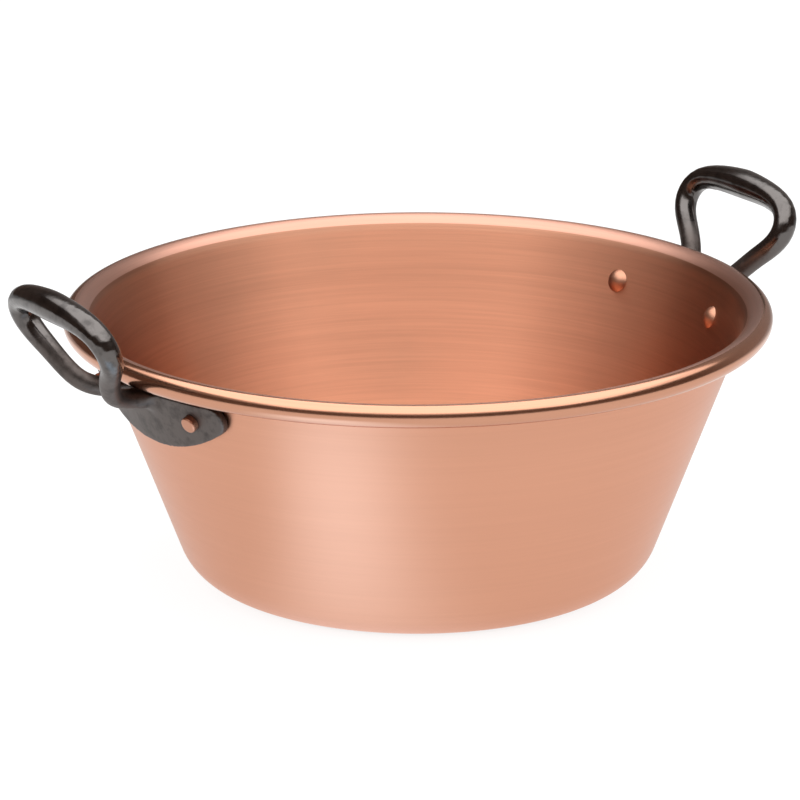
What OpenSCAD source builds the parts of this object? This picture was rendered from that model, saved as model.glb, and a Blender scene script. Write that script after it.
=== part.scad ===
// Copper jam pan: a wide, low pan of spun copper sheet with a wired rim and two cast iron
// handles, each held by two copper rivets. The origin is the middle of the base's underside,
// +Z is up and the handles lie along the X axis.

/* [Pan] */
// Diameter over the rolled rim
rim_d = 360; // [300:1:420]
// Height of the pan, from the underside of its base to the top of the rim
pan_h = 141.7; // [120:0.1:180]
// Diameter at which the straight wall, carried on downwards, would meet the table
foot_d = 231.8; // [200:0.1:250]
// Outside radius of the bend between base and wall
base_bend_r = 27; // [12:0.5:35]
// Thickness of the copper sheet
sheet_t = 1.2; // [0.8:0.1:2]

/* [Rim] */
// Diameter of the rolled rim's bead
bead_d = 11.4; // [9:0.1:14]
// Radius of the bend that leads from the wall over into the bead, on its inner side
flare_r = 12; // [9:0.5:20]
// Gap between the rolled bead and the wall that runs up beside it
curl_gap = 1.2; // [0.8:0.1:2]
// Width of the open seam under the bead, from the sheet's edge round to the point nearest the wall
seam_w = 5; // [4:0.1:7]
// Gap all round between the rim wire and the sheet rolled over it
wire_gap = 0.1; // [0.05:0.05:0.3]

/* [Handle loop] */
// Distance from the rim's outer edge out to the middle of the grip
grip_out = 28; // [24:0.5:40]
// Height of the grip's middle over the centre of the bead
grip_up = 37.7; // [30:0.1:50]
// Distance from the rim's outer edge out to the bend where a leg turns up
leg_out = 7.5; // [7:0.1:10]
// How far that bend lies below the centre of the bead
leg_down = 7.6; // [6:0.1:10]
// Width of the loop between the middles of its two corners
loop_w = 84; // [70:0.5:100]
// Distance between the middles of the two legs where they leave the plate
root_w = 24.5; // [20:0.5:34]
// How far the roots lie below the centre of the bead
root_down = 12.4; // [12:0.1:16]
// Lean of the loop away from upright, in degrees
loop_lean = 25; // [15:0.5:35]
// Diameter of the grip in its middle
grip_d = 15.4; // [12:0.1:18]
// Width and thickness of the bar at the loop's corners
corner_bar = [11, 12.9]; // [9:0.1:16]
// Width and thickness of the bar along the legs
leg_bar = [11, 10]; // [8:0.1:14]
// Width and thickness of the bar where it leaves the plate
root_bar = [14, 11.2]; // [8:0.1:18]
// How much further out the left loop stands than drawn, as no two castings are quite alike
left_reach = 2.9; // [0:0.1:4]
// How much nearer to the pan the right loop stands than drawn
right_reach = 1.6; // [0:0.1:1.6]

/* [Handle plate] */
// Thickness of the plate
plate_t = 4.5; // [3:0.1:6]
// How far the plate's top edge lies below the centre of the bead
plate_top = 8.6; // [7:0.1:10]
// How far the lowest point of the plate lies below the centre of the bead
plate_bottom = 41; // [36:0.5:50]
// Radius of the plate's curved lower edge
plate_edge_r = 118; // [100:1:140]
// Radius of the plate's two round ends
plate_end_r = 8.3; // [7:0.1:10]
// Gap between the plate and the copper wall
plate_gap = 0.05; // [0.02:0.01:0.2]

/* [Rivets] */
// Straight distance between the two rivets of a handle
rivet_pitch = 83.4; // [70:0.1:92]
// How far a rivet's centre lies below the centre of the bead, on the wall's outer face
rivet_down = 17.4; // [16:0.1:20]
// Diameter of a rivet's shank
rivet_d = 6; // [4:0.1:7]
// Gap all round between the shank and its holes
rivet_gap = 0.05; // [0.02:0.01:0.15]
// Diameter of the domed head inside the pan
head_d = 12; // [10:0.1:14]
// Height of the domed head
head_h = 3; // [2:0.1:4]
// Diameter of the closed end outside the plate
tail_d = 8.4; // [7.5:0.1:10]
// Height of the closed end
tail_h = 3.6; // [3:0.1:6]
// Radius of the closed end's worn edge
tail_edge_r = 1; // [0.3:0.1:1.5]
// Gap under the head and under the closed end, which sit on curved faces
seat_gap = 0.02; // [0.01:0.01:0.1]

/* [Hidden] */
$fn = 96;

// Colours as seen on the object
copper = [0.86, 0.55, 0.42];
steel = [0.6, 0.6, 0.62];
iron = [0.14, 0.13, 0.13];

// Rim: the bead's centre, and the lean of the wall that runs up to it
bead_r = bead_d / 2;
bead_z = pan_h - bead_r;
bead_x = rim_d / 2 - bead_r;
// The bead's centre stands this far out from the wall's inner face, measured square to the wall
bead_offset = sheet_t + curl_gap + bead_r;
foot_x = foot_d / 2;
wall_lean = lean_of_wall(20);

// Lean from upright of a wall whose outer face starts at foot_x and passes the bead's centre
// at bead_offset less the sheet; settled by repeating the estimate
function lean_of_wall(guess, steps = 12) =
    steps == 0 ? guess
    : lean_of_wall(atan((bead_x - (bead_offset - sheet_t) / cos(guess) - foot_x) / bead_z), steps - 1);

// Radius of the wall's outer face at a height, with an offset measured square to the wall
function wall_r(z, off = 0) = foot_x + z * tan(wall_lean) + off / cos(wall_lean);

// A point in the profile plane, at an angle and distance from a centre
function polar(c, r, a) = c + r * [cos(a), sin(a)];

// Direction in the profile plane from the bead's centre square to the wall
square_angle = 180 - wall_lean;

// Bend from wall to bead: its centre lies on the line through the bead's centre at flare_end
bead_c = [bead_x, bead_z];
flare_turn = acos((flare_r - bead_offset) / (flare_r - bead_r));
flare_end = square_angle - flare_turn;
flare_c = bead_c - (flare_r - bead_r) * [cos(flare_end), sin(flare_end)];

// Bend from base to wall
bend_c = [wall_r(base_bend_r) - base_bend_r / cos(wall_lean), base_bend_r];
bend_end = -wall_lean;

// The curl runs on under the bead until its edge is seam_w short of the wall
curl_end = square_angle - 360 + seam_w / bead_r * 180 / PI;

// Points of an arc from one angle to another, at most step_a apart
step_a = 5;
function arc(c, r, a0, a1) =
    let (n = max(2, ceil(abs(a1 - a0) / step_a)))
    [for (i = [0:n]) polar(c, r, a0 + (a1 - a0) * i / n)];

function reversed(list) = [for (i = [len(list) - 1:-1:0]) list[i]];

// Outline of the sheet's section: the outer face up and over, then back along the inner face
sheet_outer = concat([[0, 0]],
                     arc(bend_c, base_bend_r, -90, bend_end),
                     arc(flare_c, flare_r - sheet_t, square_angle, flare_end),
                     arc(bead_c, bead_r - sheet_t, flare_end, curl_end));
sheet_inner = concat([[0, sheet_t]],
                     arc(bend_c, base_bend_r - sheet_t, -90, bend_end),
                     arc(flare_c, flare_r, square_angle, flare_end),
                     arc(bead_c, bead_r, flare_end, curl_end));

// Rivets: the angle of each one round the pan from its handle's middle, and its place on the wall
rivet_z = bead_z - rivet_down;
rivet_angle = asin(rivet_pitch / 2 / wall_r(rivet_z));
hole_r = rivet_d / 2 + rivet_gap;
// A flat disc of radius r touches a round wall of radius R at its edge, r * r / 2R from the middle
head_lift = head_d * head_d / 8 / (wall_r(rivet_z) - sheet_t) + seat_gap;

// Loop: the bar's stations from the middle of the grip down to a root. Each is
// [across, outwards from the pan's axis, height, lean of the bar's section, half width, half thickness]
rim_r = rim_d / 2;
leg_r = rim_r + leg_out;
leg_z = bead_z - leg_down;
grip_r = rim_r + grip_out;
grip_z = bead_z + grip_up;
root_z = bead_z - root_down;
root_r = wall_r(root_z);
half_loop = loop_w / 2;
half_root = root_w / 2;

// Shape of the loop: how far across each bend lies, as a share of half the loop's width, and how
// far up, as a share of the way from the bend of the leg to the grip
crown = [0.09, 1];
shoulder = [0.95, 0.96];
side = [1.07, 0.57];
waist = [0.68, 0.31];
// The knee, where the leg turns in under the bead: across, outwards and up from the leg's bend
knee = [3.5, -1.3, -1.4];
knee_lean = 45;
// The foot of the leg lies flat, and runs from this far outside the wall to this far inside it
foot_lean = 80;
foot_out = 10;
root_out = 6;

function loop_station(bend, bar) =
    [half_loop * bend[0], leg_r + bend[1] * (grip_r - leg_r), leg_z + bend[1] * (grip_z - leg_z),
     loop_lean, bar[0] / 2, bar[1] / 2];
function root_station(out, lean, bar) = [half_root, root_r + out, root_z, lean, bar[0] / 2, bar[1] / 2];

half_stations = [
    loop_station(crown, [grip_d, grip_d]),
    loop_station(shoulder, corner_bar),
    loop_station(side, corner_bar),
    loop_station(waist, leg_bar),
    [half_root + knee[0], leg_r + knee[1], leg_z + knee[2], knee_lean, leg_bar[0] / 2, leg_bar[1] / 2],
    root_station(foot_out, foot_lean, leg_bar),
    root_station(root_out, 90, root_bar),
    root_station(-root_out, 90, root_bar)
];
stations = concat([for (s = reversed(half_stations)) [-s[0], s[1], s[2], s[3], s[4], s[5]]],
                  half_stations);

// Cubic spline through the stations, clamped at both ends
padded = concat([stations[0], stations[0]], stations,
                [stations[len(stations) - 1], stations[len(stations) - 1]]);
spans = len(padded) - 3;
rings_per_span = 5;
ring_sides = 20;
// A short way along the spline, over which its direction is measured
nudge = 0.02;

function blend(i, t) =
    (pow(1 - t, 3) * padded[i] + (3 * t * t * t - 6 * t * t + 4) * padded[i + 1]
     + (-3 * t * t * t + 3 * t * t + 3 * t + 1) * padded[i + 2] + t * t * t * padded[i + 3]) / 6;
function at(x) = let (i = min(floor(x), spans - 1)) blend(i, x - i);
function unit(v) = v / norm(v);
function place(s) = [s[1], s[0], s[2]];

// The oval section at one place along the bar
function ring(x) =
    let (s = at(x), ahead = at(min(x + nudge, spans)), behind = at(max(x - nudge, 0)),
         along = unit(place(ahead) - place(behind)),
         face = [cos(s[3]), 0, -sin(s[3])],
         thick = unit(face - (face * along) * along),
         wide = cross(along, thick))
    [for (k = [0:ring_sides - 1])
        let (a = 360 * k / ring_sides)
        place(s) + s[4] * cos(a) * wide + s[5] * sin(a) * thick];

ring_count = spans * rings_per_span;
loop_points = [for (j = [0:ring_count]) each ring(j / rings_per_span)];
loop_sides = [for (j = [0:ring_count - 1], k = [0:ring_sides - 1])
    let (a = j * ring_sides + k, b = j * ring_sides + (k + 1) % ring_sides)
    [a, b, b + ring_sides, a + ring_sides]];
loop_ends = [[for (k = [ring_sides - 1:-1:0]) k],
             [for (k = [0:ring_sides - 1]) ring_count * ring_sides + k]];

// Plate outline, across and up from the bead's centre, as it is on the plate's outer face beside a
// rivet: a long arc below, two round ends, and a straight top edge
plate_r = wall_r(rivet_z, plate_gap + plate_t) * cos(rivet_angle);
edge_c = [0, plate_edge_r - plate_bottom];
end_y = -plate_top - plate_end_r;
end_x = sqrt(pow(plate_edge_r - plate_end_r, 2) - pow(edge_c[1] - end_y, 2));
end_angle = atan2(end_y - edge_c[1], end_x);
plate_outline = concat(arc(edge_c, plate_edge_r, -180 - end_angle, end_angle),
                       arc([end_x, end_y], plate_end_r, end_angle, 90),
                       arc([-end_x, end_y], plate_end_r, 90, 180 - end_angle));

// Solid frustum inside the wall's outer face, grown by an offset
module wall_solid(off) {
    low = bead_z - 2 * plate_bottom;
    high = bead_z + bead_d;
    translate([0, 0, low])
        cylinder(h = high - low, r1 = wall_r(low, off), r2 = wall_r(high, off));
}

// Turns something that stands along Z so that it points out of the wall at a rivet
module at_rivet(side) {
    rotate([0, 0, side * rivet_angle])
        translate([wall_r(rivet_z), 0, rivet_z])
            rotate([0, 90 + wall_lean, 0])
                children();
}

module rivet_holes() {
    for (side = [-1, 1])
        at_rivet(side)
            translate([0, 0, -2 * head_d])
                cylinder(h = 4 * head_d, r = hole_r);
}

// Copper sheet: base, wall and rolled rim in one piece, drilled for the four rivets
module pan_body() {
    color(copper)
        difference() {
            rotate_extrude()
                polygon(concat(sheet_outer, reversed(sheet_inner)));
            rivet_holes();
            rotate([0, 0, 180])
                rivet_holes();
        }
}

// Steel wire inside the bead, which keeps the rim round and stiff
module rim_wire() {
    color(steel)
        rotate_extrude()
            translate([bead_x, bead_z])
                circle(r = bead_r - sheet_t - wire_gap);
}

// Crescent plate that lies against the wall under the rim; its edges point at the pan's axis
module handle_plate() {
    intersection() {
        wall_solid(plate_gap + plate_t);
        translate([plate_r / 2, 0, bead_z])
            rotate([0, 90, 0])
                rotate([0, 0, 90])
                    linear_extrude(height = plate_r, scale = 3)
                        scale(0.5)
                            polygon(plate_outline);
    }
}

module handle_loop() {
    polyhedron(points = loop_points, faces = concat(loop_sides, loop_ends), convexity = 6);
}

// One casting: plate, two legs and grip, which stands further out than drawn by reach
module handle(reach) {
    color(iron)
        difference() {
            union() {
                handle_plate();
                translate([reach, 0, 0])
                    handle_loop();
            }
            wall_solid(plate_gap);
            rivet_holes();
        }
}

// Copper rivet: domed head inside the pan, shank through wall and plate, closed end outside; the
// shank runs on into the middle of both ends
module rivet() {
    inner_face = -sheet_t - head_lift;
    outer_face = plate_gap + plate_t + seat_gap;
    dome_r = (head_d * head_d / 4 + head_h * head_h) / 2 / head_h;
    tail_r = tail_d / 2;
    color(copper) {
        translate([0, 0, inner_face - head_h / 2])
            cylinder(h = outer_face - inner_face + (head_h + tail_h) / 2, r = rivet_d / 2);
        intersection() {
            translate([0, 0, inner_face - head_h + dome_r])
                sphere(r = dome_r);
            translate([0, 0, inner_face - head_h])
                cylinder(h = head_h, r = head_d / 2);
        }
        rotate_extrude()
            translate([0, outer_face])
                polygon(concat([[0, 0], [tail_r, 0]],
                               arc([tail_r - tail_edge_r, tail_h - tail_edge_r], tail_edge_r, 0, 90),
                               [[0, tail_h]]));
    }
}

module left_handle() { rotate([0, 0, 180]) handle(left_reach); }
module right_handle() { handle(-right_reach); }
module left_front_rivet() { rotate([0, 0, 180]) at_rivet(1) rivet(); }
module left_back_rivet() { rotate([0, 0, 180]) at_rivet(-1) rivet(); }
module right_front_rivet() { at_rivet(-1) rivet(); }
module right_back_rivet() { at_rivet(1) rivet(); }

pan_body();
rim_wire();
left_handle();
right_handle();
left_front_rivet();
left_back_rivet();
right_front_rivet();
right_back_rivet();
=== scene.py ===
# %% [markdown]
# # Copper jam pan
# A wide pan spun from copper sheet, with its rim rolled over a steel wire and two black iron
# loop handles riveted to it. Its solids arrive from CAD at their real size and are the fixed
# frame of the scene. This lesson models the surfaces that the eye sees round that frame: the
# spun sheet, the castings and the rivets, and then their metals and the light.

# %% Load the frame
import math

import bpy
from mathutils import Matrix, Vector


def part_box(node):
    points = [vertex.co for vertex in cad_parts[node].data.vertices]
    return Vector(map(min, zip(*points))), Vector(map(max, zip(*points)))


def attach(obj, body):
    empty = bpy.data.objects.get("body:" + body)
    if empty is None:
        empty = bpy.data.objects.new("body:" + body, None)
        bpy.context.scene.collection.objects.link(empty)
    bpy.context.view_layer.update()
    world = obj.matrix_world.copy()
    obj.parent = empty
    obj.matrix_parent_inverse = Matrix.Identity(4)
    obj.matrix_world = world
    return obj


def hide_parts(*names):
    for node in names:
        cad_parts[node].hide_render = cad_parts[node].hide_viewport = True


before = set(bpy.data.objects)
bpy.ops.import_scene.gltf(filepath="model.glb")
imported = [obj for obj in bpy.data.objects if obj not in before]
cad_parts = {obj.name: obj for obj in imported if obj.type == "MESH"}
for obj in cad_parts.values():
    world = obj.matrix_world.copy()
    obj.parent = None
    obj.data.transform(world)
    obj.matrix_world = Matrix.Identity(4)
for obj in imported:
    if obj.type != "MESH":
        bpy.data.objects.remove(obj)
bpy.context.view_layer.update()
scene = bpy.context.scene
print("nodes:", sorted(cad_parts))

# %% [markdown]
# The camera stands well back with a long lens, a little above the rim, and the handles run from
# the near left to the far right. Its place came from fitting a pinhole camera to the outlines of
# the rim, the wall and the base. Blender's camera looks along its own -Z, which is why the aim
# is turned into a rotation that tracks -Z.

# %% Camera
CAMERA_PLACE = Vector((-1.3247, -2.0320, 0.8463))
CAMERA_AIM = Vector((-0.0146, -0.0057, 0.0938))
CAMERA_ROLL = math.radians(-0.195)
CAMERA_LENS = 223.85
CAMERA_SENSOR = 36
VIEW_LIMIT = 50


def make_camera():
    data = bpy.data.cameras.new("camera")
    data.lens = CAMERA_LENS
    data.sensor_width = CAMERA_SENSOR
    data.clip_end = VIEW_LIMIT
    camera = bpy.data.objects.new("camera", data)
    scene.collection.objects.link(camera)
    aim = (CAMERA_AIM - CAMERA_PLACE).to_track_quat("-Z", "Y").to_matrix().to_4x4()
    roll = Matrix.Rotation(CAMERA_ROLL, 4, "Z")
    camera.matrix_world = Matrix.Translation(CAMERA_PLACE) @ aim @ roll
    scene.camera = camera
    return camera


camera = make_camera()
print("camera at", tuple(round(c, 3) for c in camera.location))

# %% [markdown]
# Everything below is modelled as by hand: a primitive is added, shaped in edit mode, and
# finished with modifiers. An operator works on whatever is selected, and the frame arrives
# selected, so the first helper clears the selection and makes one object active.

# %% Helpers for modelling
MERGE = 1e-6


def activate(obj):
    if bpy.context.object and bpy.context.object.mode != "OBJECT":
        bpy.ops.object.mode_set(mode="OBJECT")
    bpy.ops.object.select_all(action="DESELECT")
    obj.select_set(True)
    bpy.context.view_layer.objects.active = obj
    return obj


def edit(obj):
    activate(obj)
    bpy.ops.object.mode_set(mode="EDIT")
    bpy.ops.mesh.select_all(action="SELECT")


def end_edit():
    bpy.ops.object.mode_set(mode="OBJECT")


def apply_modifier(obj, kind, **settings):
    activate(obj)
    bpy.ops.object.modifier_add(type=kind)
    modifier = obj.modifiers[-1]
    for key, value in settings.items():
        setattr(modifier, key, value)
    bpy.ops.object.modifier_apply(modifier=modifier.name)


def triangles(obj):
    return sum(len(p.vertices) - 2 for p in obj.data.polygons)


# %% [markdown]
# Sheet copper is turned to shape on a lathe: a tool presses the turning disc against a form, and
# every section through the axis is alike. The mesh can be made in the same way. Half a section
# is drawn as a chain of points, and the chain is spun once round the axis. A curve with a screw
# modifier would do too, but the spin leaves a plain mesh whose faces can be given their finish
# at once.
#
# An arc is a short list of points. The chain is drawn by extruding a single vertex from point to
# point, in the plane that holds the axis. That vertex is a small plane, merged at its middle.

# %% Draw and spin a section
SPIN_STEPS = 192
ARC_STEP = 4
SEED_SIZE = 0.01


def polar(centre, radius, degrees):
    angle = math.radians(degrees)
    return centre[0] + radius * math.cos(angle), centre[1] + radius * math.sin(angle)


def arc(centre, radius, start, end, step=ARC_STEP):
    count = max(2, math.ceil(abs(end - start) / step))
    return [polar(centre, radius, start + (end - start) * i / count) for i in range(count + 1)]


def spun(name, chain, steps, smooth_below):
    bpy.ops.object.select_all(action="DESELECT")
    bpy.ops.mesh.primitive_plane_add(size=SEED_SIZE)
    obj = bpy.context.object
    obj.name = name
    edit(obj)
    bpy.ops.mesh.merge(type="CENTER")
    bpy.ops.transform.translate(value=(chain[0][0], 0, chain[0][1]))
    for last, point in zip(chain, chain[1:]):
        step = (point[0] - last[0], 0, point[1] - last[1])
        bpy.ops.mesh.extrude_region_move(TRANSFORM_OT_translate={"value": step})
    bpy.ops.mesh.select_all(action="SELECT")
    bpy.ops.mesh.spin(steps=steps, angle=2 * math.pi, center=(0, 0, 0), axis=(0, 0, 1))
    bpy.ops.mesh.select_all(action="SELECT")
    bpy.ops.mesh.remove_doubles(threshold=MERGE)
    bpy.ops.mesh.normals_make_consistent(inside=False)
    end_edit()
    activate(obj)
    bpy.ops.object.shade_smooth_by_angle(angle=smooth_below)
    return obj


# %% [markdown]
# The pan is a flat base, a bend, a straight leaning wall, and a rim that flares and then rolls
# over a wire into a fat round bead, whose edge stops a little short of the wall underneath. The
# lean of the wall follows from the other sizes: its outer face starts at the foot and passes the
# bead's centre at a fixed distance, so it is found by repeating an estimate.

# %% Sizes of the sheet
SHEET = 0.0012
BEAD_RADIUS = 0.0057
FOOT_RADIUS = 0.1159
BASE_BEND = 0.027
FLARE = 0.012
CURL_GAP = 0.0012
CURL_SEAM = 0.005
FIRST_LEAN = math.radians(20)
LEAN_TRIES = 12

pan_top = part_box("pan_body")[1]
bead_centre = (pan_top.x - BEAD_RADIUS, pan_top.z - BEAD_RADIUS)
bead_offset = SHEET + CURL_GAP + BEAD_RADIUS
wall_lean = FIRST_LEAN
for _ in range(LEAN_TRIES):
    foot_to_bead = bead_centre[0] - FOOT_RADIUS - (bead_offset - SHEET) / math.cos(wall_lean)
    wall_lean = math.atan(foot_to_bead / bead_centre[1])
lean = math.degrees(wall_lean)
print("the wall leans", round(lean, 2), "degrees")


def wall_radius(height, offset=0.0):
    return FOOT_RADIUS + height * math.tan(wall_lean) + offset / math.cos(wall_lean)


# %% [markdown]
# The chain runs along the outside from the middle of the base up to the rolled edge, round that
# edge, and back along the inside. Base and wall get a row of faces every 12 mm, so that the
# faces stay near square. The sheet's sides meet in a corner at the rolled edge, and smooth
# shading stops at corners sharper than 50 degrees, so the edge stays crisp.

# %% Section of the pan
ROW = 0.012
SHEET_SMOOTH = math.radians(50)

square = 180 - lean
flare_end = square - math.degrees(math.acos((FLARE - bead_offset) / (FLARE - BEAD_RADIUS)))
flare_centre = polar(bead_centre, BEAD_RADIUS - FLARE, flare_end)
curl_end = square - 360 + math.degrees(CURL_SEAM / BEAD_RADIUS)
bend_centre = (wall_radius(BASE_BEND) - BASE_BEND / math.cos(wall_lean), BASE_BEND)


def rows_between(first, last):
    count = max(1, round(math.dist(first, last) / ROW))
    return [tuple(a + (b - a) * i / count for a, b in zip(first, last)) for i in range(1, count)]


def sheet_face(base_height, bend, flare, bead):
    base = (0, base_height)
    bend_points = arc(bend_centre, bend, -90, -lean)
    flare_points = arc(flare_centre, flare, square, flare_end)
    return ([base] + rows_between(base, bend_points[0]) + bend_points
            + rows_between(bend_points[-1], flare_points[0]) + flare_points
            + arc(bead_centre, bead, flare_end, curl_end)[1:])


outside = sheet_face(0, BASE_BEND, FLARE - SHEET, BEAD_RADIUS - SHEET)
inside = sheet_face(SHEET, BASE_BEND - SHEET, FLARE, BEAD_RADIUS)
pan = spun("spun_sheet", outside + inside[::-1], SPIN_STEPS, SHEET_SMOOTH)
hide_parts("pan_body")
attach(pan, "root")
print("pan:", triangles(pan), "triangles, from", len(outside) + len(inside), "points")

# %% [markdown]
# Each handle is one iron casting: a crescent plate, two legs and a loop. The solid from CAD
# already has their true form, but a casting has no sharp inner corners, its edges are soft, and
# a fine ridge runs round the loop where the halves of the mould met. So a copy of the solid is
# the blank. Cutting it with the plane of the loop finds the line of that ridge, which becomes a
# thin bead of metal. Remeshing then fuses blank and bead into one skin, and smoothing rounds
# every edge. The two loops of the real pan lean out by a few millimetres more or less, so each
# has its own reach.

# %% Sizes of the casting
LOOP_POINT = (0.1992, 0.1542)
LOOP_LEAN = math.radians(24.3)
LEFT_REACH = 0.0029
RIGHT_REACH = -0.0016
RIDGE_RADIUS = 0.0007
RIDGE_ROUNDNESS = 1
RIDGE_FROM = 0.139
RIDGE_WIDTH = 0.05
SKIN = 0.0007
SMOOTH_SHARE = 0.5
SOFTENING = 6

# %% [markdown]
# The blank's own mesh is loose triangles, so its doubles are merged first. The bisect operator
# leaves only the new edges selected, so all the rest can be deleted. They form two lines, one
# round the outside of the loop and one round its inside. The ridge is filed away outside, where
# the hand holds, so the wider of the two lines goes.

# %% Find the ridge


def blank_of(node, name):
    blank = bpy.data.objects.new(name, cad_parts[node].data.copy())
    scene.collection.objects.link(blank)
    blank.data.materials.clear()
    edit(blank)
    bpy.ops.mesh.remove_doubles(threshold=MERGE)
    end_edit()
    return blank


def ridge_of(blank, side, reach):
    edit(blank)
    bpy.ops.mesh.duplicate()
    bpy.ops.mesh.separate(type="SELECTED")
    end_edit()
    ridge = next(o for o in bpy.context.selected_objects if o != blank)
    point = (side * (LOOP_POINT[0] + reach), 0, LOOP_POINT[1])
    normal = (side * math.cos(LOOP_LEAN), 0, -math.sin(LOOP_LEAN))
    edit(ridge)
    bpy.ops.mesh.bisect(plane_co=point, plane_no=normal)
    bpy.ops.mesh.select_all(action="INVERT")
    bpy.ops.mesh.delete(type="VERT")
    end_edit()
    for vertex in ridge.data.vertices:
        vertex.select = vertex.co.z < RIDGE_FROM
    activate(ridge)
    bpy.ops.object.mode_set(mode="EDIT")
    bpy.ops.mesh.delete(type="VERT")
    bpy.ops.mesh.select_all(action="SELECT")
    bpy.ops.mesh.separate(type="LOOSE")
    end_edit()
    lines = sorted(bpy.context.selected_objects, key=lambda line: line.dimensions.y)
    print("ridge lines:", [round(line.dimensions.y, 4) for line in lines])
    ridge = lines[0] if lines[0].dimensions.y > RIDGE_WIDTH else lines[1]
    for line in lines:
        if line != ridge:
            bpy.data.objects.remove(line)
    activate(ridge)
    bpy.ops.object.convert(target="CURVE")
    ridge = bpy.context.object
    ridge.data.bevel_depth = RIDGE_RADIUS
    ridge.data.bevel_resolution = RIDGE_ROUNDNESS
    ridge.data.use_fill_caps = True
    bpy.ops.object.convert(target="MESH")
    return ridge


# %% [markdown]
# Molten iron doesn't fill a sharp inner corner, and the pattern maker rounds it off with a
# fillet. Growing a shape all round, remeshing it and shrinking it back does the same: where the
# grown walls have met, the corner stays filled. Only the feet of the legs need it, so they are
# cut out of a copy with three planes, and what comes back is laid over the blank. Cut edges come
# back ragged, so the copy is first cut with some spare metal, which is trimmed off at the end. It
# is shrunk a hair further than it was grown, so that only the fillets stand out of the blank.

# %% Fill the corners
FILLET = 0.005
FILLET_SINK = 0.0001
CREASE_SOFTENING = 3
FEET_TOP = 0.1375
FEET_SIDE = 0.034
FEET_SPARE = 0.006


def trim_to_feet(obj, spare):
    side = FEET_SIDE + spare
    edit(obj)
    for point, normal in (
        ((0, 0, FEET_TOP + spare), (0, 0, 1)),
        ((0, side, 0), (0, 1, 0)),
        ((0, -side, 0), (0, -1, 0)),
    ):
        bpy.ops.mesh.select_all(action="SELECT")
        bpy.ops.mesh.bisect(plane_co=point, plane_no=normal, use_fill=True, clear_outer=True)
    end_edit()


def filled_feet(blank):
    feet = bpy.data.objects.new("feet", blank.data.copy())
    scene.collection.objects.link(feet)
    trim_to_feet(feet, FEET_SPARE)
    apply_modifier(feet, "DISPLACE", mid_level=0, strength=FILLET)
    apply_modifier(feet, "REMESH", mode="VOXEL", voxel_size=SKIN)
    apply_modifier(feet, "SMOOTH", factor=SMOOTH_SHARE, iterations=CREASE_SOFTENING)
    apply_modifier(feet, "DISPLACE", mid_level=0, strength=-FILLET - FILLET_SINK)
    trim_to_feet(feet, 0)
    return feet


# %% [markdown]
# Now each blank is cast: joined with its ridge and remeshed, joined with its filled feet and
# remeshed again, and softened. Sculpting the same forms would take longer and would drift away
# from the solid, and a bevel can't follow edges that run out into a round loop.

# %% Cast a handle


def fuse(obj, extra):
    activate(obj)
    extra.select_set(True)
    bpy.ops.object.join()
    apply_modifier(obj, "REMESH", mode="VOXEL", voxel_size=SKIN)


def cast_handle(node, name, side, reach):
    blank = blank_of(node, name)
    fuse(blank, ridge_of(blank, side, reach))
    fuse(blank, filled_feet(blank))
    apply_modifier(blank, "SMOOTH", factor=SMOOTH_SHARE, iterations=SOFTENING)
    activate(blank)
    bpy.ops.object.shade_smooth()
    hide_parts(node)
    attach(blank, "root")
    print(name, triangles(blank), "triangles")
    return blank


left_casting = cast_handle("left_handle", "left_casting", -1, LEFT_REACH)
right_casting = cast_handle("right_handle", "right_casting", 1, RIGHT_REACH)

# %% [markdown]
# A rivet starts as a copper pin with a domed head. It goes in from inside the pan, and the end
# that stands out of the plate is closed with a hammer. It is round, so it is spun as the pan
# was, once, and then copied to its four places.

# %% Sizes of the rivets
RIVET_DOWN = 0.0174
RIVET_PITCH = 0.0834
SHANK_RADIUS = 0.003
HEAD_RADIUS = 0.006
HEAD_HEIGHT = 0.003
TAIL_RADIUS = 0.0042
TAIL_HEIGHT = 0.0036
TAIL_EDGE = 0.001
PLATE = 0.0045
PLATE_GAP = 0.00005
SEAT_GAP = 0.00002

rivet_height = bead_centre[1] - RIVET_DOWN
rivet_turn = math.asin(RIVET_PITCH / 2 / wall_radius(rivet_height))
head_lift = HEAD_RADIUS ** 2 / 2 / (wall_radius(rivet_height) - SHEET) + SEAT_GAP
print("the rivets stand", round(math.degrees(rivet_turn), 2), "degrees beside the handle's middle")

# %% Spin one rivet
RIVET_STEPS = 64
TAIL_STEP = 15
RIVET_SMOOTH = math.radians(40)

inner_face = -SHEET - head_lift
outer_face = PLATE_GAP + PLATE + SEAT_GAP
dome = (HEAD_RADIUS ** 2 + HEAD_HEIGHT ** 2) / 2 / HEAD_HEIGHT
dome_centre = (0, inner_face - HEAD_HEIGHT + dome)
dome_edge = -90 + math.degrees(math.asin(HEAD_RADIUS / dome))
tail_corner = (TAIL_RADIUS - TAIL_EDGE, outer_face + TAIL_HEIGHT - TAIL_EDGE)

rivet_chain = arc(dome_centre, dome, -90, dome_edge)
rivet_chain += [(SHANK_RADIUS, inner_face), (SHANK_RADIUS, outer_face), (TAIL_RADIUS, outer_face)]
rivet_chain += arc(tail_corner, TAIL_EDGE, 0, 90, step=TAIL_STEP)
rivet_chain += [(0, outer_face + TAIL_HEIGHT)]
rivet = spun("rivet", rivet_chain, RIVET_STEPS, RIVET_SMOOTH)
print("rivet:", triangles(rivet), "triangles")

# %% [markdown]
# A rivet's axis stands square to the leaning wall. Each copy is turned over to that lean, moved
# out to the wall and turned round the pan. Then the move is applied to its own mesh, so that
# all four objects keep their origin in the middle of the pan, as every piece here does.

# %% Place the rivets


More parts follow.
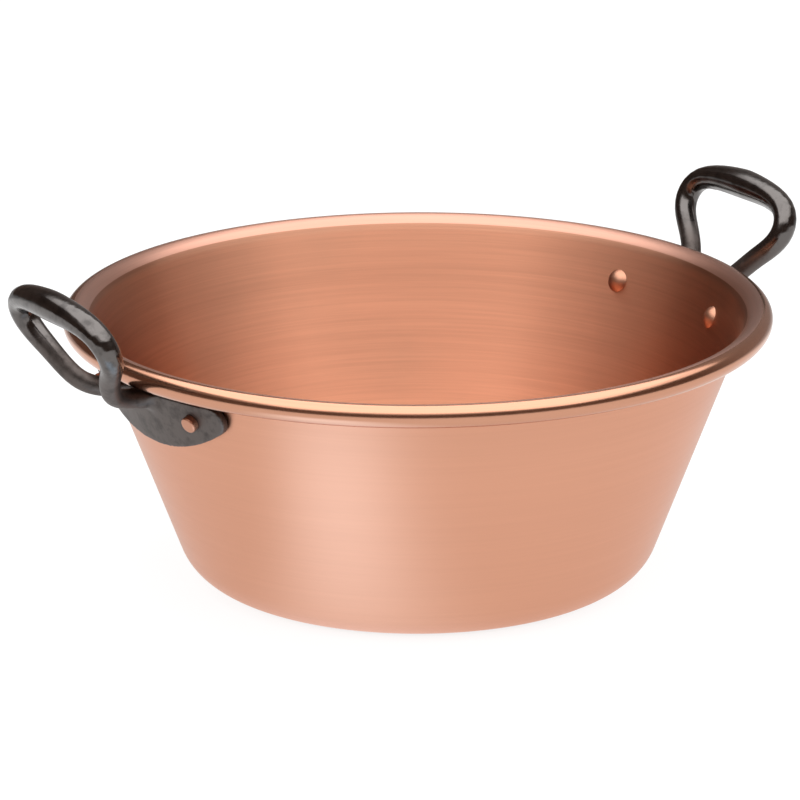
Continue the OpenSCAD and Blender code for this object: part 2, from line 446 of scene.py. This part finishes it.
def place_rivet(node, turn):
    copy = rivet.copy()
    copy.data = rivet.data.copy()
    copy.name = node + "_copper"
    scene.collection.objects.link(copy)
    copy.matrix_world = (Matrix.Rotation(turn, 4, "Z")
                         @ Matrix.Translation((wall_radius(rivet_height), 0, rivet_height))
                         @ Matrix.Rotation(math.pi / 2 + wall_lean, 4, "Y"))
    activate(copy)
    bpy.ops.object.transform_apply()
    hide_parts(node)
    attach(copy, "root")
    return copy


rivets = [
    place_rivet("left_front_rivet", math.pi + rivet_turn),
    place_rivet("left_back_rivet", math.pi - rivet_turn),
    place_rivet("right_front_rivet", -rivet_turn),
    place_rivet("right_back_rivet", rivet_turn),
]
bpy.data.objects.remove(rivet)
print("rivets:", [copper.name for copper in rivets])

# %% [markdown]
# Each metal is a small node graph, which could be wired by hand in the shader editor. A few
# helpers keep the graphs short to read: one makes a node and sets or links its sockets, and the
# others wrap the nodes that come back most, such as a noise and a smooth step between two
# values.

# %% Helpers for materials


def new_material(name):
    material = bpy.data.materials.new(name)
    material.use_nodes = True
    tree = material.node_tree
    shader = tree.nodes["Principled BSDF"]
    return material, tree, shader


def add_node(tree, kind, settings=None, **sockets):
    node = tree.nodes.new(kind)
    for key, value in (settings or {}).items():
        setattr(node, key, value)
    for key, value in sockets.items():
        connect(tree, value, node.inputs[key.replace("_", " ")])
    return node


def connect(tree, value, socket):
    if isinstance(value, bpy.types.NodeSocket):
        tree.links.new(value, socket)
    else:
        socket.default_value = value


def math_node(tree, operation, first, second=0.0):
    node = add_node(tree, "ShaderNodeMath", {"operation": operation})
    connect(tree, first, node.inputs[0])
    connect(tree, second, node.inputs[1])
    return node.outputs[0]


def vector_node(tree, operation, *values):
    node = add_node(tree, "ShaderNodeVectorMath", {"operation": operation})
    for value, socket in zip(values, node.inputs):
        connect(tree, value, socket)
    return node.outputs


# %% Helpers for noises and steps


def product(tree, first, *others):
    for other in others:
        first = math_node(tree, "MULTIPLY", first, other)
    return first


def noise(tree, vector, scale, detail, roughness=0.5):
    return add_node(tree, "ShaderNodeTexNoise", Vector=vector, Scale=scale, Detail=detail,
                    Roughness=roughness).outputs["Fac"]


def ramp(tree, value, low, high, start=0.0, end=1.0, curve="LINEAR"):
    return add_node(tree, "ShaderNodeMapRange", {"interpolation_type": curve}, Value=value,
                    From_Min=low, From_Max=high, To_Min=start, To_Max=end).outputs["Result"]


def smooth(tree, value, low, high, start=0.0, end=1.0):
    return ramp(tree, value, low, high, start, end, "SMOOTHSTEP")


def shaded_mix(tree, factor, first, second, shade):
    mix = add_node(tree, "ShaderNodeMix", {"data_type": "RGBA"}, Factor=factor,
                   A=(*first, 1), B=(*second, 1))
    tint = add_node(tree, "ShaderNodeVectorMath", {"operation": "SCALE"}, Scale=shade)
    tree.links.new(mix.outputs["Result"], tint.inputs[0])
    return tint.outputs[0]


# %% [markdown]
# Spun copper carries fine rings left by the brush. They run round the pan, so a noise is read at
# the distance from the axis and the height, and hardly at all at the angle, which stretches it
# into long streaks. A picture of scratches wrapped round the pan would show a seam and a pattern,
# and a noise has neither. The streaks come at two scales, fine marks and broad bands.

# %% Rings and streaks
ANGLE_SHARE = 0.002
RING_SCALE = 900.0
MARK_SCALE = 560.0
MARK_ROUGHNESS = 0.7
MARK_SHARE = 0.75
BAND_SCALE = 38.0
STREAK_RANGE = (0.35, 0.65)


def along_rings(tree, x, y, z):
    squares = math_node(tree, "ADD", product(tree, x, x), product(tree, y, y))
    angle = math_node(tree, "ARCTAN2", y, x)
    return add_node(tree, "ShaderNodeCombineXYZ", X=math_node(tree, "SQRT", squares),
                    Y=product(tree, angle, ANGLE_SHARE), Z=z).outputs[0]


def streaks(tree, rings, depth):
    marks = noise(tree, rings, MARK_SCALE, 4.0, MARK_ROUGHNESS)
    bands = noise(tree, rings, BAND_SCALE, 2.0)
    uneven = math_node(tree, "ADD", product(tree, marks, MARK_SHARE),
                       product(tree, bands, 1 - MARK_SHARE))
    return ramp(tree, uneven, *STREAK_RANGE, 1 - depth, 1 + depth)


# %% [markdown]
# A pan in use doesn't have one even colour. It tarnishes in slow clouds inside. On top of
# that, its colour is painted darker near the rim, as painted shade that holds back the bright
# rise where the wall turns into the flare, and painted lighter low down, as painted light.
# Painting that by hand would do too, but clouds from a noise and two steps along the height
# can be tuned later with a few numbers.
#
# The grooves of the brush also smear every reflection across them, up and down the wall. An
# anisotropic gloss whose tangent runs round the axis does that, and a faint bump breaks it up.

# %% Copper
STAIN_COPPER = (0.50, 0.27, 0.175)
TARNISH_SCALE = 13.0
TARNISH_RANGE = (0.45, 0.7)
# heights of the painted shade near the rim and of the painted light low down
RIM_SHADE_FROM = bead_centre[1] - 0.4 * BEAD_RADIUS
RIM_SHADE_TO = bead_centre[1] + 0.35 * BEAD_RADIUS
LOW_LIGHT_FROM = 0.02
LOW_LIGHT_TO = 0.10
GROOVE_TURN = 0.25
GROOVE_DEPTH = 0.0001


def brushed_copper(name, colour, roughness, spread, smear, ring_depth, streak, stain=0.0,
                   painted_rim_shade=1.0, painted_low_light=1.0):
    material, tree, shader = new_material(name)
    place = add_node(tree, "ShaderNodeTexCoord").outputs["Object"]
    x, y, z = add_node(tree, "ShaderNodeSeparateXYZ", Vector=place).outputs
    rings = along_rings(tree, x, y, z)
    # the streaks are brush marks; the rim step is painted shade and the low step is painted light
    shade = product(tree, streaks(tree, rings, streak),
                    smooth(tree, z, RIM_SHADE_FROM, RIM_SHADE_TO, 1.0, painted_rim_shade),
                    smooth(tree, z, LOW_LIGHT_FROM, LOW_LIGHT_TO, painted_low_light, 1.0))
    clouds = noise(tree, place, TARNISH_SCALE, 4.0)
    tarnish = ramp(tree, clouds, *TARNISH_RANGE, 0.0, stain)
    tint = shaded_mix(tree, tarnish, colour, STAIN_COPPER, shade)
    tree.links.new(tint, shader.inputs["Base Color"])
    shader.inputs["Metallic"].default_value = 1.0
    shader.inputs["Anisotropic"].default_value = smear
    shader.inputs["Anisotropic Rotation"].default_value = GROOVE_TURN
    tangent = add_node(tree, "ShaderNodeTangent", {"direction_type": "RADIAL", "axis": "Z"})
    tree.links.new(tangent.outputs["Tangent"], shader.inputs["Tangent"])
    fine = noise(tree, rings, RING_SCALE, 4.0)
    rough = ramp(tree, fine, 0.0, 1.0, roughness - spread, roughness + spread)
    tree.links.new(rough, shader.inputs["Roughness"])
    bump = add_node(tree, "ShaderNodeBump", Height=fine, Strength=ring_depth,
                    Distance=GROOVE_DEPTH)
    tree.links.new(bump.outputs["Normal"], shader.inputs["Normal"])
    return material


# %% [markdown]
# The sheet has four finishes: satin outside, brushed and tarnished inside, polished on the outer
# half of the bead, and worn on top of the flare, where hands have left a film of wax and grease.
# That film is a clear coat with a blurred gloss. The rivets' colour is painted darker than the
# sheet's, as painted shade.

# %% Finishes of the copper
COPPER = (0.715, 0.36, 0.238)
INNER_COPPER = (0.64, 0.315, 0.2)
DEEP_COPPER = (0.55, 0.277, 0.18)
WORN_COPPER = (0.56, 0.27, 0.185)
# painted shade: the rivets' copper is set darker than the sheet's
DARKENED_RIVET_COPPER = (0.50, 0.25, 0.165)
FILM = 1.0
FILM_ROUGHNESS = 0.35

satin_copper = brushed_copper("satin_copper", COPPER, roughness=0.42, spread=0.03, smear=0.8,
                              ring_depth=0.05, streak=0.016)
ringed_copper = brushed_copper("ringed_copper", INNER_COPPER, roughness=0.39, spread=0.04,
                               smear=0.95, ring_depth=0.12, streak=0.07, stain=0.4,
                               painted_rim_shade=0.7, painted_low_light=1.15)
bright_copper = brushed_copper("bright_copper", DEEP_COPPER, roughness=0.18, spread=0.03,
                               smear=0.5, ring_depth=0.02, streak=0.03)
worn_copper = brushed_copper("worn_copper", WORN_COPPER, roughness=0.38, spread=0.05, smear=0.6,
                             ring_depth=0.15, streak=0.06)
worn_gloss = worn_copper.node_tree.nodes["Principled BSDF"]
worn_gloss.inputs["Coat Weight"].default_value = FILM
worn_gloss.inputs["Coat Roughness"].default_value = FILM_ROUGHNESS
darkened_rivet_copper = brushed_copper("darkened_rivet_copper", DARKENED_RIVET_COPPER, roughness=0.4, spread=0.06, smear=0,
                              ring_depth=0.1, streak=0.05)
sheet_finishes = (satin_copper, ringed_copper, bright_copper, worn_copper)
print("copper:", [finish.name for finish in (*sheet_finishes, darkened_rivet_copper)])

# %% [markdown]
# The finishes meet along circles, so each face takes its finish from its distance to the axis
# and its height. Faces could be picked by hand in edit mode, but a rule still holds when the
# section gets more points.

# %% Finish the sheet
SATIN, RINGED, BRIGHT, WORN = range(4)
BEAD_REACH = 1.12 * BEAD_RADIUS
BRIGHT_FROM = bead_centre[0] + 0.12 * BEAD_RADIUS
WORN_FROM = bead_centre[1] + 0.3 * BEAD_RADIUS
WORN_DEPTH = 1.5 * SHEET
HAIR = 0.0001


def zone(face):
    radius = math.hypot(face.center.x, face.center.y)
    height = face.center.z
    if math.dist((radius, height), bead_centre) < BEAD_REACH and radius > BRIGHT_FROM:
        return BRIGHT
    if height > WORN_FROM and radius > wall_radius(height, -WORN_DEPTH):
        return WORN
    outer_side = radius > wall_radius(height, -SHEET / 2) - HAIR
    if height < SHEET / 2 or (outer_side and height < bead_centre[1]):
        return SATIN
    return SATIN if height < BASE_BEND and face.normal.z < 0 else RINGED


for finish in sheet_finishes:
    pan.data.materials.append(finish)
for face in pan.data.polygons:
    face.material_index = zone(face)
counts = [sum(face.material_index == i for face in pan.data.polygons) for i in range(4)]
print("faces of each finish:", counts)

# %% [markdown]
# The handles are black castings. Hands have polished the loop to a half gloss, and the plate
# kept the matte skin of the sand mould, so one step along the height blends the two. A noise
# gives patches of darker scale, three more give grain, sand marks and shallow dents, and the
# corners are painted darker. That painted shade falls where little open sky is seen, which is
# what the ambient occlusion node measures.

# %% Skin of the iron
GRAIN_SCALE = 900.0
SAND_SCALE = 260.0
DENT_SCALE = 60.0
GRAIN_SHARE = 0.12
SAND_SHARE = 0.8
RELIEF_STRENGTH = 0.12
RELIEF_DEPTH = 0.0006
PATCH_SCALE = 110.0
PATCH_ROUGHNESS = 0.65
PATCH_RANGE = (0.36, 0.52)
SCALE_SHADE = 0.62
CORNER_SHADE_REACH = 0.012
CORNER_SHADE_RANGE = (0.3, 0.85)
CORNER_SHADE_LEVEL = 0.35
CORNER_SHADE_SAMPLES = 8


def iron_relief(tree, place, dents, matte):
    fine = product(tree, noise(tree, place, GRAIN_SCALE, 3.0), GRAIN_SHARE)
    coarse = product(tree, noise(tree, place, SAND_SCALE, 4.0), matte, SAND_SHARE)
    relief = math_node(tree, "ADD", math_node(tree, "ADD", fine, coarse), dents)
    return add_node(tree, "ShaderNodeBump", Height=relief, Strength=RELIEF_STRENGTH,
                    Distance=RELIEF_DEPTH).outputs["Normal"]


def scale_and_corner_shade(tree, place):
    patches = noise(tree, place, PATCH_SCALE, 6.0, PATCH_ROUGHNESS)
    scale = ramp(tree, patches, *PATCH_RANGE, SCALE_SHADE, 1.0)
    # painted shade: the ambient occlusion darkens the iron in corners and creases
    open_sky = add_node(tree, "ShaderNodeAmbientOcclusion", {"samples": CORNER_SHADE_SAMPLES},
                        Distance=CORNER_SHADE_REACH).outputs["AO"]
    return product(tree, scale, ramp(tree, open_sky, *CORNER_SHADE_RANGE, CORNER_SHADE_LEVEL, 1.0))


# %% Cast iron
LOOP_IRON = (0.130, 0.119, 0.114)
PLATE_IRON = (0.119, 0.100, 0.092)
POLISH_FROM = 0.139
POLISH_TO = 0.154
LOOP_ROUGHNESS = (0.13, 0.24)
PLATE_ROUGHNESS = 0.5


def cast_iron():
    material, tree, shader = new_material("cast_iron")
    place = add_node(tree, "ShaderNodeTexCoord").outputs["Object"]
    height = add_node(tree, "ShaderNodeSeparateXYZ", Vector=place).outputs["Z"]
    matte = smooth(tree, height, POLISH_FROM, POLISH_TO, 1.0, 0.0)
    dents = noise(tree, place, DENT_SCALE, 2.0)
    tree.links.new(iron_relief(tree, place, dents, matte), shader.inputs["Normal"])
    tint = shaded_mix(tree, matte, LOOP_IRON, PLATE_IRON, scale_and_corner_shade(tree, place))
    tree.links.new(tint, shader.inputs["Base Color"])
    shader.inputs["Metallic"].default_value = 1.0
    rough = add_node(tree, "ShaderNodeMix", {"data_type": "FLOAT"}, Factor=matte,
                     A=ramp(tree, dents, 0.0, 1.0, *LOOP_ROUGHNESS), B=PLATE_ROUGHNESS)
    tree.links.new(rough.outputs["Result"], shader.inputs["Roughness"])
    return material


iron = cast_iron()
print("iron:", len(iron.node_tree.nodes), "nodes")

# %% [markdown]
# The wire inside the bead is plain drawn steel. Nobody sees it, but the piece is real and could
# be shown in a cut view, so it gets its own simple metal. The solids that the sheet and the
# castings stand in for get their metals too, so that no piece of the frame is left grey.

# %% Steel, and who wears what
STEEL = (0.45, 0.45, 0.47)
STEEL_ROUGHNESS = (0.3, 0.45)
STEEL_SCALE = 400.0


def drawn_steel():
    material, tree, shader = new_material("steel_wire")
    place = add_node(tree, "ShaderNodeTexCoord").outputs["Object"]
    marks = noise(tree, place, STEEL_SCALE, 2.0)
    shader.inputs["Base Color"].default_value = (*STEEL, 1)
    shader.inputs["Metallic"].default_value = 1.0
    tree.links.new(ramp(tree, marks, 0.0, 1.0, *STEEL_ROUGHNESS), shader.inputs["Roughness"])
    return material


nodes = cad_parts
dress = [(left_casting, iron), (right_casting, iron), (nodes["rim_wire"], drawn_steel())]
dress += [(copper, darkened_rivet_copper) for copper in rivets]
dress += [(nodes["pan_body"], satin_copper), (nodes["left_handle"], iron),
          (nodes["right_handle"], iron)]
for obj, material in dress:
    obj.data.materials.clear()
    obj.data.materials.append(material)
print("dressed:", [obj.name for obj, material in dress])

# %% [markdown]
# Polished metal shows the room more than it shows itself, so the studio is built for what the
# copper mirrors. It starts with white paper underneath. The paper is partly paint, which keeps
# the soft shadow, and partly glow, which keeps it plain white. The glow is seen only by the
# camera and in mirrors, so it adds no light.
#
# What the copper mirrors of the floor isn't even. Under the pan it is dark, which gives the foot
# its dark edge. Behind the pan it grows dim, which gives the iron and the bead their dark lines.
# And a pool of cool light near the wall gives the tall pale highlight. It shows only in mirrors
# that are close, such as the wall, so the iron higher up doesn't turn blue.

# %% What mirrors see of the floor
CAMERA_TURN = math.radians(-33.1)
FLOOR_GLOW = 1.13
POOL_COLOUR = (0.76, 1.32, 1.88)
POOL_TURN = math.radians(202.9)
POOL_PLACE = (-0.256, -0.156)
POOL_LENGTH = 0.32
POOL_WIDTH = 0.13
POOL_REACH = (0.15, 0.25)
UNDER_RANGE = (0.085, 0.108)
UNDER_GLOW = 0.4
FAR_RANGE = (0.25, 0.7)
FAR_SHADE = 0.7


def heading(angle):
    return math.cos(angle), math.sin(angle), 0


def floor_colour(tree, place, path):
    moved = add_node(tree, "ShaderNodeMapping", {"vector_type": "TEXTURE"}, Vector=place,
                     Location=(*POOL_PLACE, 0), Rotation=(0, 0, POOL_TURN),
                     Scale=(POOL_LENGTH, POOL_WIDTH, 1)).outputs["Vector"]
    pool = add_node(tree, "ShaderNodeTexGradient", {"gradient_type": "SPHERICAL"},
                    Vector=moved).outputs["Fac"]
    close = smooth(tree, path["Ray Length"], *POOL_REACH, 1.0, 0.0)
    mirrored = product(tree, close, path["Is Glossy Ray"])
    soft = ramp(tree, pool, 0.0, 1.0, 0.0, mirrored, "SMOOTHERSTEP")
    return vector_node(tree, "MULTIPLY_ADD", POOL_COLOUR, soft, [FLOOR_GLOW] * 3)[0]


def floor_strength(tree, place, path):
    across = vector_node(tree, "LENGTH", place)["Value"]
    under = smooth(tree, across, *UNDER_RANGE, UNDER_GLOW, 1.0)
    behind = vector_node(tree, "DOT_PRODUCT", place, heading(CAMERA_TURN + math.pi / 2))["Value"]
    far = smooth(tree, behind, *FAR_RANGE, 0.0, FAR_SHADE)
    dim = product(tree, far, path["Is Glossy Ray"])
    return product(tree, under, math_node(tree, "SUBTRACT", 1.0, dim))


# %% [markdown]
# The floor is one large plane just below the base. Its back face is clear, so the underside of
# the pan can be looked at too. A hole in the paper would do that as well, but it would take the
# shadow away.

# %% Floor
FLOOR_SIZE = 8.0
FLOOR_DOWN = 0.0005
FLOOR_GREY = 0.8
FLOOR_ROUGHNESS = 0.9
GLOW_SHARE = 0.8


def mix_shaders(tree, factor, first, second):
    mix = add_node(tree, "ShaderNodeMixShader", Fac=factor)
    tree.links.new(first, mix.inputs[1])
    tree.links.new(second, mix.inputs[2])
    return mix.outputs["Shader"]


def floor_paper():
    material, tree, shader = new_material("floor_paper")
    shader.inputs["Base Color"].default_value = (FLOOR_GREY, FLOOR_GREY, FLOOR_GREY, 1)
    shader.inputs["Roughness"].default_value = FLOOR_ROUGHNESS
    shader.inputs["Specular IOR Level"].default_value = 0.0
    place = add_node(tree, "ShaderNodeTexCoord").outputs["Object"]
    path = add_node(tree, "ShaderNodeLightPath").outputs
    glow = add_node(tree, "ShaderNodeEmission", Color=floor_colour(tree, place, path),
                    Strength=floor_strength(tree, place, path)).outputs["Emission"]
    in_mirrors = math_node(tree, "MAXIMUM", path["Is Glossy Ray"], path["Is Transmission Ray"])
    seen = math_node(tree, "MAXIMUM", path["Is Camera Ray"], in_mirrors)
    paper = mix_shaders(tree, product(tree, seen, GLOW_SHARE), shader.outputs["BSDF"], glow)
    from_below = add_node(tree, "ShaderNodeNewGeometry").outputs["Backfacing"]
    clear = add_node(tree, "ShaderNodeBsdfTransparent").outputs["BSDF"]
    sheet = mix_shaders(tree, from_below, paper, clear)
    tree.links.new(sheet, tree.nodes["Material Output"].inputs["Surface"])
    material.cycles.emission_sampling = "NONE"
    return material


bpy.ops.object.select_all(action="DESELECT")
bpy.ops.mesh.primitive_plane_add(size=FLOOR_SIZE, location=(0, 0, -FLOOR_DOWN))
floor = bpy.context.object
floor.name = "floor"
floor.data.materials.append(floor_paper())
print("floor:", FLOOR_SIZE, "m wide")

# %% [markdown]
# A brown curtain stands round the set. The bead mirrors it as one thin dark line, the ends of
# the bowl mirror it as brown, and the iron mirrors it as black. In front its upper part is pale,
# as if lit by a window, and at the back right it glows a little: those two give the flare and
# the far loop their lights. It is hidden from the camera, so the background stays plain white
# from every side. Flags and lamps would do the same in a real studio, but each lamp adds noise,
# and a painted wall adds none.

# %% Curtain
CURTAIN_RADIUS = 3.4
CURTAIN_TOP = math.radians(45)
CURTAIN_SIDES = 64
CURTAIN_BROWN = (0.16, 0.11, 0.089)
PALE_GLOW = 0.75
PALE_TURN = math.radians(245)
PALE_SIDE = -0.4
PALE_FROM = math.tan(math.radians(27))
PALE_TO = math.tan(math.radians(34))
SIDE_GLOW = 0.2
SIDE_TURN = math.radians(25)
SIDE_EDGE = 0.6

curtain_half = CURTAIN_RADIUS * math.tan(CURTAIN_TOP) / 2


def lobe(tree, place, turn, edge, strength):
    towards = vector_node(tree, "DOT_PRODUCT", place, heading(turn))["Value"]
    return smooth(tree, towards, edge * CURTAIN_RADIUS, CURTAIN_RADIUS, 0.0, strength)


def curtain_cloth():
    material, tree, shader = new_material("curtain_cloth")
    shader.inputs["Base Color"].default_value = (*CURTAIN_BROWN, 1)
    shader.inputs["Roughness"].default_value = 1.0
    place = add_node(tree, "ShaderNodeTexCoord").outputs["Object"]
    height = add_node(tree, "ShaderNodeSeparateXYZ", Vector=place).outputs["Z"]
    front = lobe(tree, place, PALE_TURN, PALE_SIDE, 1.0)
    upper = smooth(tree, height, PALE_FROM * CURTAIN_RADIUS - curtain_half,
                   PALE_TO * CURTAIN_RADIUS - curtain_half)
    glow = math_node(tree, "ADD", product(tree, front, upper, PALE_GLOW),
                     lobe(tree, place, SIDE_TURN, SIDE_EDGE, SIDE_GLOW))
    tree.links.new(glow, shader.inputs["Emission Strength"])
    shader.inputs["Emission Color"].default_value = (1, 1, 1, 1)
    material.cycles.emission_sampling = "NONE"
    return material


bpy.ops.mesh.primitive_cylinder_add(vertices=CURTAIN_SIDES, radius=CURTAIN_RADIUS,
                                    depth=2 * curtain_half, end_fill_type="NOTHING",
                                    location=(0, 0, curtain_half))
curtain = bpy.context.object
curtain.name = "curtain"
curtain.visible_camera = False
curtain.data.materials.append(curtain_cloth())
print("curtain:", round(2 * curtain_half, 2), "m high")

# %% [markdown]
# A wide soft ceiling lights the pan from above and gives the bead its bright upper band. It is
# one area light, turned to the camera, and the world behind it is plain white. A small lamp
# would draw a hard spot on every curve instead. The light's energy is its glow times its area,
# so that its size can change and its brightness in a mirror stays.

# %% Lights
CEILING_PLACE = (0.10, -0.37, 1.7)
CEILING_SIZE = (4.1, 3.4)
CEILING_GLOW = 1.5


def make_ceiling():
    data = bpy.data.lights.new("ceiling", "AREA")
    data.shape = "RECTANGLE"
    data.size, data.size_y = CEILING_SIZE
    data.energy = CEILING_GLOW * math.pi * CEILING_SIZE[0] * CEILING_SIZE[1]
    light = bpy.data.objects.new("ceiling", data)
    light.location = CEILING_PLACE
    light.rotation_euler.z = CAMERA_TURN
    light.visible_camera = False
    scene.collection.objects.link(light)
    return light


def pale_world():
    world = bpy.data.worlds.new("pale_world")
    scene.world = world
    world.use_nodes = True
    background = world.node_tree.nodes["Background"]
    background.inputs["Color"].default_value = (1, 1, 1, 1)
    background.inputs["Strength"].default_value = 1.0


pale_world()
ceiling = make_ceiling()
scene.view_settings.view_transform = "Standard"
print("ceiling:", round(ceiling.data.energy, 1), "W")
